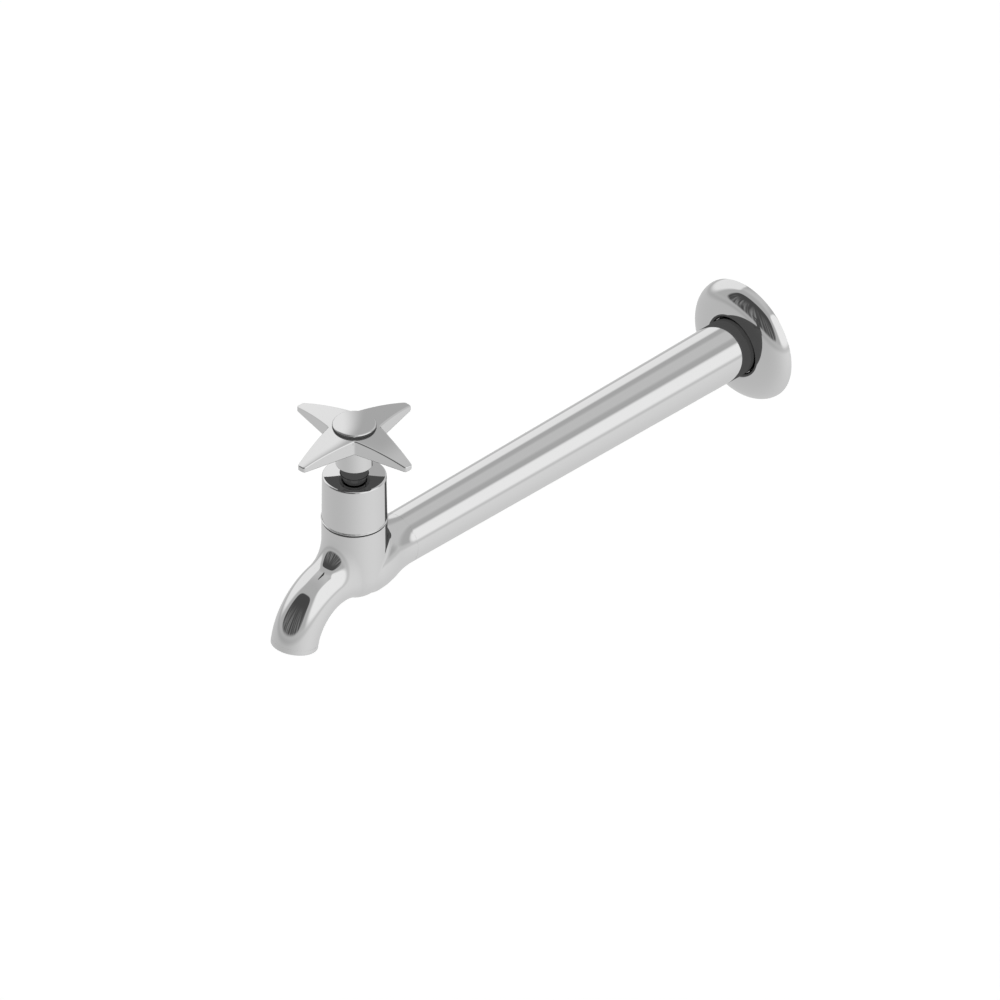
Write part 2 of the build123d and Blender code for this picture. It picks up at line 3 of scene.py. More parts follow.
import bpy
import numpy as np
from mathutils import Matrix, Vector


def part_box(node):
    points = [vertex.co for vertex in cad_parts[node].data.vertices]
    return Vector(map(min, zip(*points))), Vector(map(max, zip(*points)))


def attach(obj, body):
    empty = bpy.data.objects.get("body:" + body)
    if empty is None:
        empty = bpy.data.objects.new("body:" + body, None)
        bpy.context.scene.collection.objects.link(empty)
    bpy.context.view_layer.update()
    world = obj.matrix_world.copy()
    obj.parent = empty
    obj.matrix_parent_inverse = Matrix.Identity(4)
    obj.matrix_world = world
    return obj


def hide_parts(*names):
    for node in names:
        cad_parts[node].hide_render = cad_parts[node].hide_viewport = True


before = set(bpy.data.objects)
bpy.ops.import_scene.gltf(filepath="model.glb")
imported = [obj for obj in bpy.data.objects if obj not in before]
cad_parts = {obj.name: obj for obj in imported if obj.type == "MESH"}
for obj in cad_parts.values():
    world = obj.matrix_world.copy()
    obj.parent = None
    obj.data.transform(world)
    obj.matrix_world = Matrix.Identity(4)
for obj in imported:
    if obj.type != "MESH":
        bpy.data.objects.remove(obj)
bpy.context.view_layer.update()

# Camera
# The picture is a parallel view along a cube's diagonal, from the right, the front and above.
# Its scale is 2.3 pixels to the millimetre, and the wall end of the arm's axis lies at a known pixel.
mm = 0.001
picture_side = 1000
pixels_per_mm = 2.3
origin_pixel = (745.36, 338.35)
camera_distance = 1.5

elevation = atan2(1, 2**0.5)
towards_camera = np.array([1.0, -1.0, 1.0]) / np.sqrt(3)
picture_right = np.array([1.0, 1.0, 0.0]) / np.sqrt(2)
picture_up = np.cross(towards_camera, picture_right)
across = (picture_side / 2 - origin_pixel[0]) / pixels_per_mm
upward = (origin_pixel[1] - picture_side / 2) / pixels_per_mm
aim = (picture_right * across + picture_up * upward) * mm

camera = bpy.data.objects.new("camera", bpy.data.cameras.new("camera"))
bpy.context.scene.collection.objects.link(camera)
camera.data.type = "ORTHO"
camera.data.ortho_scale = picture_side / pixels_per_mm * mm
camera.location = aim + towards_camera * camera_distance
camera.rotation_euler = (pi / 2 - elevation, 0, pi / 4)
bpy.context.scene.camera = camera
bpy.context.scene.view_settings.view_transform = "Standard"


# Shader boards
# A board holds the nodes of one material. A wire is one output on it that takes plain arithmetic.
class Wire:
    """An output socket. Arithmetic on wires adds Math nodes to their board."""

    def __init__(self, board, socket):
        self.board = board
        self.socket = socket

    def __getitem__(self, name):
        return Wire(self.board, self.socket.node.outputs[name])

    def math(self, operation, *others):
        inputs = dict(enumerate((self, *others)))
        return self.board.add("ShaderNodeMath", {"operation": operation}, inputs)

    def __add__(self, other):
        return self.math("ADD", other)

    def __sub__(self, other):
        return self.math("SUBTRACT", other)

    def __mul__(self, other):
        return self.math("MULTIPLY", other)

    def __truediv__(self, other):
        return self.math("DIVIDE", other)

    def __rsub__(self, other):
        return self.math("MULTIPLY_ADD", -1.0, other)

    __radd__ = __add__
    __rmul__ = __mul__

    def rising(self, start, end):
        """Goes smoothly from 0 at start to 1 at end."""
        inputs = {"Value": self, "From Min": start, "From Max": end}
        return self.board.add("ShaderNodeMapRange", {"interpolation_type": "SMOOTHSTEP"}, inputs)


class Board:
    """The node tree of a material or of the world."""

    def __init__(self, owner):
        owner.use_nodes = True
        self.tree = owner.node_tree
        self.tree.nodes.clear()

    def add(self, kind, settings=None, inputs=None, output=0):
        """Adds a node: its settings first, then the values or wires of its inputs."""
        node = self.tree.nodes.new(kind)
        for name, value in (settings or {}).items():
            setattr(node, name, value)
        for name, value in (inputs or {}).items():
            if isinstance(value, Wire):
                self.tree.links.new(value.socket, node.inputs[name])
            else:
                node.inputs[name].default_value = value
        return Wire(self, node.outputs[output]) if node.outputs else None


# Studio
# A plain white room: bright side panels, a grey ceiling and back, a dark opening in front and a pale floor.
# An edge says at which slopes of the view a part of the room starts and is whole. Metal mirrored in metal
# sees an even dark, and the camera sees plain white.
ceiling_light = 0.625
corner_light = 0.475
corner_edge, corner_back_edge, corner_top_edge = (0.26, 0.4), (0, 0.1), (1, 0.7)
front_wall_light = 0.505
front_wall_edge = (0.1, -0.3)
panel_lights = (0.94, 1.01)
panel_middle, panel_half = (0.25, 0.71), (0.74, 0.8)
panel_edge, panel_change = (1.16, 0.84), (-0.1, 0.1)
opening_light = 0.075
opening_middle, opening_half = 0.835, (1.135, 0.8)
opening_edge, opening_front_edge = (1.07, 0.93), (0, -0.05)
streak_light = 0.26
streaks_across = 12
streak_edge, streak_fade = (0.4, 0.75), (1.0, 0.2)
floor_light = 0.675
floor_slopes, floor_bends = (0.09, 0.07), (0.03, 0.04)
floor_edge = (-0.15, 0.12)
horizon_dimming = 0.17
horizon_low_edge, horizon_high_edge = (-0.24, -0.11), (0.02, -0.11)
second_mirror_light = 0.105
rays_before_second_mirror = 2.5
little = 0.001

world = bpy.data.worlds.new("studio")
bpy.context.scene.world = world
board = Board(world)
direction = board.add("ShaderNodeTexCoord", output="Generated")
parts_of_direction = board.add("ShaderNodeSeparateXYZ", inputs={"Vector": direction})
x, y, z = (parts_of_direction[name] for name in "XYZ")
sideways, lengthways = x.math("ABSOLUTE") + little, y.math("ABSOLUTE") + little


def rounded_frame(across, upward, half):
    """Grows from 0 at a frame's middle to 1 on its outline, a rectangle with well-rounded corners."""
    fourths = [(side / reach).math("POWER", 4.0) for side, reach in zip((across, upward), half)]
    return (fourths[0] + fourths[1]).math("POWER", 0.25)


corner = (sideways / (sideways + lengthways)).rising(*corner_edge)
corner = corner * y.rising(*corner_back_edge) * z.rising(*corner_top_edge)
rear = ceiling_light + corner * (corner_light - ceiling_light)
walls = rear + y.rising(*front_wall_edge) * (front_wall_light - rear)

panel_across = (y / sideways - panel_middle[0]).math("ABSOLUTE")
panel_up = (z / sideways - panel_middle[1]).math("ABSOLUTE")
panel = rounded_frame(panel_across, panel_up, panel_half).rising(*panel_edge)
panel_light = panel_lights[0] + x.rising(*panel_change) * (panel_lights[1] - panel_lights[0])
walls = walls + panel * (panel_light - walls)

opening_up = z / lengthways
frame_up = (opening_up - opening_middle).math("ABSOLUTE")
opening = rounded_frame(sideways / lengthways, frame_up, opening_half).rising(*opening_edge)
opening = opening * y.rising(*opening_front_edge)
streak_across = x / lengthways * streaks_across
streak_place = board.add("ShaderNodeCombineXYZ", inputs={"X": streak_across, "Y": opening_up})
streaks = board.add("ShaderNodeTexNoise", inputs={"Vector": streak_place, "Scale": 1.0})
streaks = streaks.rising(*streak_edge) * opening_up.rising(*streak_fade)
inside_opening = opening_light + streaks * streak_light
walls = walls + opening * (inside_opening - walls)

floor_slope = x * floor_slopes[0] + y * floor_slopes[1]
floor_bend = x * y * floor_bends[0] + (x * x - y * y) * floor_bends[1]
floor_glow = floor_light + floor_slope + floor_bend
room = floor_glow + z.rising(*floor_edge) * (walls - floor_glow)
horizon = z.rising(*horizon_low_edge) * z.rising(*horizon_high_edge)
room = room - room * horizon * horizon_dimming

path = board.add("ShaderNodeLightPath", output="Is Camera Ray")
mirrored_twice = path["Ray Depth"].math("GREATER_THAN", rays_before_second_mirror)
room = room + mirrored_twice * (second_mirror_light - room)
strength = room + path * (1 - room)
sky = board.add("ShaderNodeBackground", inputs={"Color": (1, 1, 1, 1), "Strength": strength})
board.add("ShaderNodeOutputWorld", inputs={"Surface": sky})

# Floor
# A pale floor well below the tap, which hangs on its wall. It is seen and shaded, but not mirrored.
floor_depth = 0.25
floor_half = 6.0
floor_tone = 0.9
floor_own_light = 0.5

floor_mesh = bpy.data.meshes.new("floor")
corners = np.array([(-1, -1), (1, -1), (1, 1), (-1, 1)]) * floor_half
floor_mesh.from_pydata([(cx, cy, -floor_depth) for cx, cy in corners], [], [(0, 1, 2, 3)])
floor = bpy.data.objects.new("floor", floor_mesh)
bpy.context.scene.collection.objects.link(floor)
floor_paint = bpy.data.materials.new("floor_paint")
board = Board(floor_paint)
matt = board.add("ShaderNodeBsdfDiffuse", inputs={"Color": (floor_tone, floor_tone, floor_tone, 1)})
glow = board.add("ShaderNodeEmission", inputs={"Strength": floor_own_light})
both = board.add("ShaderNodeAddShader", inputs={0: matt, 1: glow})
board.add("ShaderNodeOutputMaterial", inputs={"Surface": both})
floor_mesh.materials.append(floor_paint)
floor.visible_glossy = False
floor.visible_diffuse = False


# Chrome
# Bright chrome plate over polished brass, with the faintest uneven polish.
chrome_tone = 0.78
chrome_roughness = (0.03, 0.055)
smear_scale = 60.0
smear_edge = (0.4, 0.8)

chrome = bpy.data.materials.new("chrome")
board = Board(chrome)
place = board.add("ShaderNodeTexCoord", output="Object")
smears = board.add("ShaderNodeTexNoise", inputs={"Vector": place, "Scale": smear_scale, "Detail": 3.0})
roughness = chrome_roughness[0] + smears.rising(*smear_edge) * (chrome_roughness[1] - chrome_roughness[0])
plate = board.add("ShaderNodeBsdfPrincipled", inputs={
    "Base Color": (chrome_tone, chrome_tone, chrome_tone, 1), "Metallic": 1.0, "Roughness": roughness,
})
board.add("ShaderNodeOutputMaterial", inputs={"Surface": plate})

# Body casting
# One brass casting: an upright chamber with a ball end, a bent spout in front and the arm's root behind,
# run together by rounded fillets, ground smooth and plated. Its mouth is bored, and a small step turned in
# its rim leaves a dark line under the sleeve.
valve_y = (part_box("bonnet_shroud")[0].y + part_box("bonnet_shroud")[1].y) / 2 / mm
seam_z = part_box("bonnet_shroud")[0].z / mm
chamber_radius = 14.4
chamber_rim_bevel = 0.15
chamber_step = (13.5, 0.75)
chamber_bore = (10.53, 8.0)
ball_z = -0.2
spout_drop = 1.0
spout_root = 10.6
spout_bend = 26.5
spout_turn = radians(78.9)
spout_end = 2.2
spout_radii = (10.8, 10.45)
spout_fillet = 12.6
mouth_rounding = 0.7
mouth_edge = 0.25
mouth_bore = (8.3, 8.0)
spout_bore = 7.85
spout_bore_start = 14.0
arm_fillet = 5.0
root_radii = (14.4, 15.1)
root_swelling = (4.0, 4.0)
root_end = 27.4
arm_radii = (11.57, 13.21)
joint_offset = 30.0
skin_pitch = 0.4
net_margin = 1.0
net_past_bend = (16.0, 4.0)
ring_height = 2.5
tuck = 0.015
tuck_run = 1.0
around_steps = 192


def length_of(vectors):
    """Length of each vector in an array."""
    return np.sqrt((vectors**2).sum(-1))


def way_of(vectors):
    """Vectors of length one, each in the direction of the given vector."""
    return vectors / np.maximum(length_of(vectors), 1e-9)[..., None]


def rolled_union(first, second, radius):
    """Two forms joined by the fillet of a ball that rolls along both.

    Each form is a distance and the way it grows. The way from a point to the ball's centre has the
    same share of both ways as the ball still has to go, and the skin is one radius from that centre.
    """
    (near, near_way), (far, far_way) = first, second
    most_shared = 0.999
    shared = np.clip((near_way * far_way).sum(-1), -most_shared, most_shared)
    near_left, far_left = radius - near, radius - far
    spread = 1 - shared**2
    near_part = (near_left - shared * far_left) / spread
    far_part = (far_left - shared * near_left) / spread
    to_centre = near_part[..., None] * near_way + far_part[..., None] * far_way
    rolled = (near_part > 0) & (far_part > 0) & (near_left > 0) & (far_left > 0)
    closer = near < far
    distance = np.where(rolled, radius - length_of(to_centre), np.where(closer, near, far))
    plain_way = np.where(closer[..., None], near_way, far_way)
    return distance, np.where(rolled[..., None], way_of(to_centre), plain_way)


def arm_radius(offset):
    """Radius of the arm: it grows evenly from the valve's axis to the wall."""
    return arm_radii[0] + (arm_radii[1] - arm_radii[0]) * offset / -valve_y


def root_profile(offset):
    """Radius of the arm's root: a smooth swelling, then two parabolas down to the arm's taper."""
    rise = np.clip(offset / root_swelling[0], 0, 1)
    swollen = root_radii[0] + (root_radii[1] - root_radii[0]) * rise**2 * (3 - 2 * rise)
    share = np.clip((offset - root_swelling[1]) / (root_end - root_swelling[1]), 0, 1)
    eased = np.where(share < 0.5, 2 * share**2, 1 - 2 * (1 - share) ** 2)
    return swollen + (arm_radius(offset) - root_radii[1]) * eased


def chamber_form(points):
    """The upright chamber: distance from the part of the valve's axis above the ball's centre."""
    outward = points * (1, 1, 0)
    outward[..., 2] = np.minimum(points[..., 2] - ball_z, 0)
    under_rim = tuck * np.clip(points[..., 2] - (seam_z - ring_height) + tuck_run, 0, 1)
    return length_of(outward) - chamber_radius + under_rim, way_of(outward)


def root_form(points):
    """The arm's root: distance from the arm's axis behind the valve, less the root's profile there."""
    outward = points * (1, 0, 1)
    outward[..., 1] = np.minimum(points[..., 1], 0)
    offset = np.maximum(points[..., 1], 0)
    under_ring = tuck * np.clip(offset - (joint_offset - ring_height) + tuck_run, 0, 1)
    return length_of(outward) - root_profile(offset) + under_ring, way_of(outward)


def spout_line(travel):
    """The spout's centreline: a straight root, an arc that turns down and a straight end.

    Gives the place and the direction at each distance travelled from the valve's axis.
    """
    angle = np.clip((travel - spout_root) / spout_bend, 0, spout_turn)
    straight = np.minimum(travel, spout_root)
    past = np.maximum(travel - spout_root - spout_bend * spout_turn, 0)
    forward = straight + spout_bend * np.sin(angle) + past * np.cos(angle)
    down = spout_bend * (1 - np.cos(angle)) + past * np.sin(angle)
    nought = np.zeros_like(forward)
    place = np.stack([nought, -forward, -spout_drop - down], -1)
    return place, np.stack([nought, -np.cos(angle), -np.sin(angle)], -1)


spout_length = spout_root + spout_bend * spout_turn + spout_end


def spout_radius(travel):
    """Outer radius of the spout, which thins a little towards its mouth."""
    share = np.clip(travel / spout_length, 0, 1)
    return spout_radii[0] + (spout_radii[1] - spout_radii[0]) * share


def spout_form(points):
    """The spout: distance from the nearest place on its centreline, less its radius there."""
    forward, up = -points[..., 1], points[..., 2] + spout_drop
    angle = np.arctan2(forward - spout_root, up + spout_bend)
    along_arc = spout_root + spout_bend * np.clip(angle, 0, spout_turn)
    bend_end = spout_line(np.array(spout_root + spout_bend * spout_turn))[0]
    past = (forward + bend_end[1]) * cos(spout_turn) - (up - spout_drop - bend_end[2]) * sin(spout_turn)
    travel = np.where(angle < 0, np.clip(forward, 0, spout_root), along_arc)
    travel = np.where((angle > 0) & (past > 0), along_arc + past, travel)
    outward = points - spout_line(travel)[0]
    under_ring = tuck * np.clip(travel - (spout_length - ring_height) + tuck_run, 0, 1)
    return length_of(outward) - spout_radius(travel) + under_ring, way_of(outward)


def casting_form(points):
    """The casting's skin: chamber, spout and arm's root joined by fillets."""
    upright = chamber_form(points)
    with_spout = rolled_union(upright, spout_form(points), spout_fillet)
    return rolled_union(with_spout, root_form(points), arm_fillet)


def slope_of(form, points, step=0.02):
    """Slope of a form's distance, by small steps either way along each axis."""
    steps = np.eye(3) * step
    return np.stack([form(points + s)[0] - form(points - s)[0] for s in steps], -1) / (2 * step)


def net_over(form, low, high, pitch):
    """Skin where a form's distance is zero: one point in each cell of a grid that the skin crosses.

    Each point starts at the mean of the crossings on its cell's edges and is then moved onto the skin
    along the slope. Each crossed edge joins the points of the four cells round it.
    """
    axes = [np.arange(start, end + pitch, pitch) for start, end in zip(low, high)]
    grid = np.stack(np.meshgrid(*axes, indexing="ij"), -1)
    values = form(grid)[0]
    cells = tuple(size - 1 for size in values.shape)
    total = np.zeros(cells + (3,))
    count = np.zeros(cells)
    edges = []
    for axis in range(3):
        others = [other for other in range(3) if other != axis]
        near, far = [slice(None)] * 3, [slice(None)] * 3
        near[axis], far[axis] = slice(None, -1), slice(1, None)
        start, end = values[tuple(near)], values[tuple(far)]
        crosses = (start < 0) != (end < 0)
        share = np.where(crosses, start / np.where(crosses, start - end, 1), 0)
        meeting = grid[tuple(near)] + share[..., None] * np.eye(3)[axis] * pitch
        for corner in np.ndindex(2, 2):
            window = [slice(None)] * 3
            for other, side in zip(others, corner):
                window[other] = slice(side, cells[other] + side)
            count += crosses[tuple(window)]
            total += np.where(crosses[tuple(window)][..., None], meeting[tuple(window)], 0)
        inner = [slice(None)] * 3
        for other in others:
            inner[other] = slice(1, -1)
        edges.append((others, np.argwhere(crosses[tuple(inner)])))
    numbers = np.full(cells, -1)
    numbers[count > 0] = np.arange((count > 0).sum())
    points = total[count > 0] / count[count > 0][:, None]
    for _ in range(4):
        slope = slope_of(form, points)
        points -= slope * (form(points)[0] / (slope**2).sum(-1))[:, None]
    quads = []
    for others, places in edges:
        ring = []
        for corner in ((0, 0), (1, 0), (1, 1), (0, 1)):
            cell = places.copy()
            cell[:, others] += corner
            ring.append(numbers[tuple(cell.T)])
        quads.append(np.stack(ring, 1))
    quads = np.concatenate(quads)
    triangles = np.concatenate([quads[:, [0, 1, 2]], quads[:, [0, 2, 3]]])
    return points, triangles, way_of(slope_of(form, points))[triangles]


def straight(start, end, rows=2):
    """Straight stretch of a profile, as rows of (radius, place, and the outward way in both)."""
    steps = np.linspace(0, 1, rows)[:, None]
    run = np.subtract(end, start)
    outward = np.array([run[1], -run[0]]) / np.hypot(*run)
    return np.hstack([start + steps * run, np.tile(outward, (rows, 1))])


def bent(centre, radius, start, end, rows=9):
    """Round stretch of a profile, between two angles in degrees. It bulges outwards if they rise."""
    angles = np.radians(np.linspace(start, end, rows))[:, None]
    outward = np.hstack([np.cos(angles), np.sin(angles)])
    return np.hstack([centre + radius * outward, outward * np.sign(end - start)])


def turned(profile, centre=(0, 0, 0), axis=(0, 0, 1), side=(1, 0, 0), steps=around_steps):
    """Each stretch of a profile carried once round an axis, as grids of points and outward ways."""
    axis, side = np.array(axis, float), np.array(side, float)
    angles = np.linspace(0, tau, steps + 1)[:, None]
    ring = np.cos(angles) * side + np.sin(angles) * np.cross(axis, side)
    grids = []
    for stretch in profile:
        radius, along, out, rise = (column[:, None, None] for column in stretch.T)
        grids.append((np.array(centre) + radius * ring + along * axis, out * ring + rise * axis))
    return grids


def woven(grids):
    """Joins grids into one skin. The last row of each is the first row of the next, so an edge has
    one row of points and two rows of ways. A row that has shrunk to one point becomes a pole.
    """
    rows = [grids[0][0]] + [points[1:] for points, _ in grids[1:]]
    points = np.concatenate(rows)
    height, width = points.shape[:2]
    numbers = np.arange(height * width).reshape(height, width)
    if np.allclose(points[:, 0], points[:, -1]):
        numbers[:, -1] = numbers[:, 0]
    if np.allclose(points[0], points[-1]):
        numbers[-1] = numbers[0]
    shrunk = np.ptp(points, axis=1).max(-1) < 1e-6
    numbers[shrunk] = numbers[shrunk, :1]
    triangles, ways = [], []
    first = 0
    for _, grid_ways in grids:
        block = numbers[first : first + len(grid_ways)]
        first += len(grid_ways) - 1
        for source, target in ((block, triangles), (grid_ways, ways)):
            a, b, c, d = source[:-1, :-1], source[1:, :-1], source[1:, 1:], source[:-1, 1:]
            for corners in ((a, b, c), (a, c, d)):
                stacked = np.stack(corners, 2)
                target.append(stacked.reshape(-1, *stacked.shape[2:]))
    triangles, ways = np.concatenate(triangles), np.concatenate(ways)
    a, b, c = triangles.T
    kept = (a != b) & (b != c) & (a != c)
    return points.reshape(-1, 3), triangles[kept], ways[kept]


def joined(*skins):
    """Several skins as one list of points, triangles and ways."""
    starts = np.cumsum([0] + [len(points) for points, _, _ in skins[:-1]])
    points = np.concatenate([points for points, _, _ in skins])
    triangles = np.concatenate([skin[1] + start for skin, start in zip(skins, starts)])
    return points, triangles, np.concatenate([ways for _, _, ways in skins])


def make_piece(name, skin, material, body):
    """Mesh object of a skin given in millimetres about the valve's axis, with the ways as its normals."""
    points, triangles, ways = skin
    edge_ab, edge_ac = (points[triangles[:, k]] - points[triangles[:, 0]] for k in (1, 2))
    inside_out = (np.cross(edge_ab, edge_ac) * ways.sum(1)).sum(-1) < 0
    triangles, ways = triangles.copy(), ways.copy()
    triangles[inside_out] = triangles[inside_out][:, ::-1]
    ways[inside_out] = ways[inside_out][:, ::-1]
    used, triangles = np.unique(triangles, return_inverse=True)
    triangles = triangles.reshape(-1, 3)
    points = (points[used] + (0, valve_y, 0)) * mm
    mesh = bpy.data.meshes.new(name)
    mesh.vertices.add(len(points))
    mesh.vertices.foreach_set("co", points.astype(np.float32).ravel())
    mesh.loops.add(triangles.size)
    mesh.loops.foreach_set("vertex_index", triangles.astype(np.int32).ravel())
    mesh.polygons.add(len(triangles))
    mesh.polygons.foreach_set("loop_start", np.arange(0, triangles.size, 3, dtype=np.int32))
    mesh.update(calc_edges=True)
    mesh.normals_split_custom_set(way_of(ways).reshape(-1, 3).tolist())
    mesh.materials.append(material)
    piece = bpy.data.objects.new(name, mesh)
    bpy.context.scene.collection.objects.link(piece)
    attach(piece, body)
    return piece


def along_spout(profile, steps=around_steps):
    """Each stretch of a profile of (radius, distance travelled) carried round the spout's centreline."""
    angles = np.linspace(0, tau, steps + 1)[:, None]
    grids = []
    for stretch in profile:
        radius, travel, out, rise = stretch.T
        place, forwards = spout_line(travel)
        upwards = np.cross((1, 0, 0), forwards)[:, None]
        ring = np.cos(angles) * np.array((1.0, 0, 0)) + np.sin(angles) * upwards
        points = place[:, None] + radius[:, None, None] * ring
        grids.append((points, out[:, None, None] * ring + rise[:, None, None] * forwards[:, None]))
    return grids


net_half = root_radii[1] + net_margin
low = (-net_half, -spout_root - spout_bend - net_past_bend[0], -spout_bend - net_past_bend[1])
high = (net_half, joint_offset + net_margin, seam_z + net_margin)
points, triangles, ways = net_over(casting_form, low, high, skin_pitch)
middles = points[triangles].mean(1)
mouth_place, mouth_way = spout_line(np.array(spout_length))
kept = middles[:, 2] < seam_z - ring_height / 2
kept &= middles[:, 1] < joint_offset - ring_height / 2
kept &= ((middles - mouth_place) * mouth_way).sum(-1) < -ring_height / 2
net = (points, triangles[kept], ways[kept])

ring_start = seam_z - ring_height
step_z = seam_z - chamber_step[1]
rim_z = step_z - chamber_rim_bevel
chamber_rim = woven(turned([
    straight((chamber_radius, ring_start), (chamber_radius, rim_z)),
    bent((chamber_radius - chamber_rim_bevel, rim_z), chamber_rim_bevel, 0, 90, 5),
    straight((chamber_radius - chamber_rim_bevel, step_z), (chamber_step[0], step_z)),
    straight((chamber_step[0], step_z), (chamber_step[0], seam_z)),
    straight((chamber_step[0], seam_z), (chamber_bore[0], seam_z)),
    straight((chamber_bore[0], seam_z), (chamber_bore[0], seam_z - chamber_bore[1])),
]))
ring_offset = joint_offset - ring_height
joint_rim = woven(turned(
    [straight((arm_radius(ring_offset), ring_offset), (arm_radius(joint_offset), joint_offset))],
    axis=(0, 1, 0), side=(0, 0, 1),
))
rounded_at = spout_length - mouth_rounding
edge_at = spout_length - mouth_edge
bored_to = spout_length - mouth_bore[1]
ring_travel = spout_length - ring_height
mouth_radius = spout_radii[1]
mouth = woven(along_spout([
    straight((spout_radius(ring_travel), ring_travel), (mouth_radius, rounded_at)),
    bent((mouth_radius - mouth_rounding, rounded_at), mouth_rounding, 0, 90),
    straight((mouth_radius - mouth_rounding, spout_length), (mouth_bore[0] + mouth_edge, spout_length)),
    bent((mouth_bore[0] + mouth_edge, edge_at), mouth_edge, 90, 180, 5),
    straight((mouth_bore[0], edge_at), (mouth_bore[0], bored_to)),
    straight((mouth_bore[0], bored_to), (spout_bore, bored_to)),
    straight((spout_bore, bored_to), (spout_bore, spout_bore_start), 48),
    straight((spout_bore, spout_bore_start), (0, spout_bore_start)),
]))
casting = make_piece("casting", joined(net, chamber_rim, joint_rim, mouth), chrome, "tap")
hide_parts("tap_body")

# Arm
# A long tapered brass tube, brazed to the casting, polished and plated with it so that no line shows.
arm_wall_radius = arm_radii[1]
arm_end_bevel = 0.2
arm_bore = (10.81, 12.0)
wall_at = -valve_y
arm = make_piece("arm", woven(turned([
    straight((arm_radius(joint_offset), joint_offset), (arm_wall_radius, wall_at - arm_end_bevel), 40),
    straight((arm_wall_radius, wall_at - arm_end_bevel), (arm_wall_radius - arm_end_bevel, wall_at)),
    straight((arm_wall_radius - arm_end_bevel, wall_at), (arm_bore[0], wall_at)),
    straight((arm_bore[0], wall_at), (arm_bore[0], wall_at - arm_bore[1])),
], axis=(0, 1, 0), side=(0, 0, 1))), chrome, "tap")
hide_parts("arm_tube")

# Sleeve over the bonnet
# A turned brass cover, plated, that screws down on the bonnet: its foot has a small bead, its wall draws
# in a little towards the top, and its top is a low cone with a hole for the gland nut's neck.
sleeve_foot_radius = 14.3
sleeve_top_radius = 14.15
sleeve_top_z = 47.9
sleeve_cone_z = 49.0
sleeve_hole = 6.27
sleeve_edge = 1.0
sleeve_hole_edge = 0.2
sleeve_hole_drop = 0.05
sleeve_bead = 0.4
bead_hollow = 0.3
sleeve_skirt_bore = 13.05
sleeve_thread_bore = 9.0
sleeve_shelf = (37.9, 46.4)

bead_reach = atan2(((sleeve_bead + bead_hollow) ** 2 - bead_hollow**2) ** 0.5, bead_hollow)
hollow_z = seam_z + sleeve_bead + (sleeve_bead + bead_hollow) * sin(bead_reach)
cone_slope = atan2(sleeve_cone_z - sleeve_top_z, sleeve_top_radius - sleeve_edge - sleeve_hole)
upward_angle = 90 - degrees(cone_slope)
shoulder = (sleeve_top_radius - sleeve_edge, sleeve_top_z - sleeve_edge)
hole_lip = (sleeve_hole + sleeve_hole_edge, sleeve_cone_z - sleeve_hole_edge - sleeve_hole_drop)
top_way = np.array([sin(cone_slope), cos(cone_slope)])
wall_way = degrees(bead_reach)
sleeve = make_piece("sleeve", woven(turned([
    straight((sleeve_skirt_bore, seam_z), (sleeve_foot_radius, seam_z)),
    bent((sleeve_foot_radius, seam_z + sleeve_bead), sleeve_bead, -90, wall_way),
    bent((sleeve_foot_radius + bead_hollow, hollow_z), bead_hollow, 180 + wall_way, 180, 6),
    straight((sleeve_foot_radius, hollow_z), (sleeve_top_radius, shoulder[1]), 12),
    bent(shoulder, sleeve_edge, 0, upward_angle, 12),
    straight(shoulder + sleeve_edge * top_way, hole_lip + sleeve_hole_edge * top_way, 8),
    bent(hole_lip, sleeve_hole_edge, upward_angle, 180),
    straight((sleeve_hole, hole_lip[1]), (sleeve_hole, sleeve_shelf[1])),
    straight((sleeve_hole, sleeve_shelf[1]), (sleeve_thread_bore, sleeve_shelf[1])),
    straight((sleeve_thread_bore, sleeve_shelf[1]), (sleeve_thread_bore, sleeve_shelf[0])),
    straight((sleeve_thread_bore, sleeve_shelf[0]), (sleeve_skirt_bore, sleeve_shelf[0])),
    straight((sleeve_skirt_bore, sleeve_shelf[0]), (sleeve_skirt_bore, seam_z)),
])), chrome, "tap")
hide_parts("bonnet_shroud")

# Gland nut
# The plated nut that presses on the packing. Its long neck comes up through the sleeve, with two flats for
# the spanner at its top, hidden in the handle's skirt while the tap is shut.
nut_low, nut_high = (corner.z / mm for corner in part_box("gland_nut"))
neck_radius = 6.15
neck_bevel = 0.4
nut_thread_radius = 6.9
nut_shoulder_z = 46.0
nut_bore = 4.1
half_flats = 5.2
flats_height = 3.0
flats_z = nut_high - flats_height
lower_neck = turned([
    straight((nut_bore, nut_low), (nut_thread_radius, nut_low)),
    straight((nut_thread_radius, nut_low), (nut_thread_radius, nut_shoulder_z)),
    straight((nut_thread_radius, nut_shoulder_z), (neck_radius, nut_shoulder_z)),
    straight((neck_radius, nut_shoulder_z), (neck_radius, flats_z), 7),
])
upper_neck = turned([
    straight((neck_radius, flats_z), (neck_radius, nut_high - neck_bevel)),
    straight((neck_radius, nut_high - neck_bevel), (neck_radius - neck_bevel, nut_high)),
    straight((neck_radius - neck_bevel, nut_high), (nut_bore, nut_high)),
    straight((nut_bore, nut_high), (nut_bore, nut_low)),
])
for points, ways in upper_neck[:2]:
    cut = abs(points[..., 0]) > half_flats
    ways[cut] = np.sign(points[cut][:, :1]) * (1, 0, 0)
    points[cut, 0] = half_flats * np.sign(points[cut, 0])
upper_neck[2][0][0] = upper_neck[1][0][-1]
ledge = np.stack([lower_neck[-1][0][-1], upper_neck[0][0][0]])
ledge_ways = np.zeros_like(ledge) + (0, 0, 1)
nut_skin = woven([*lower_neck, (ledge, ledge_ways), *upper_neck])
gland_nut = make_piece("gland_nut_neck", nut_skin, chrome, "tap")
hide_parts("gland_nut")

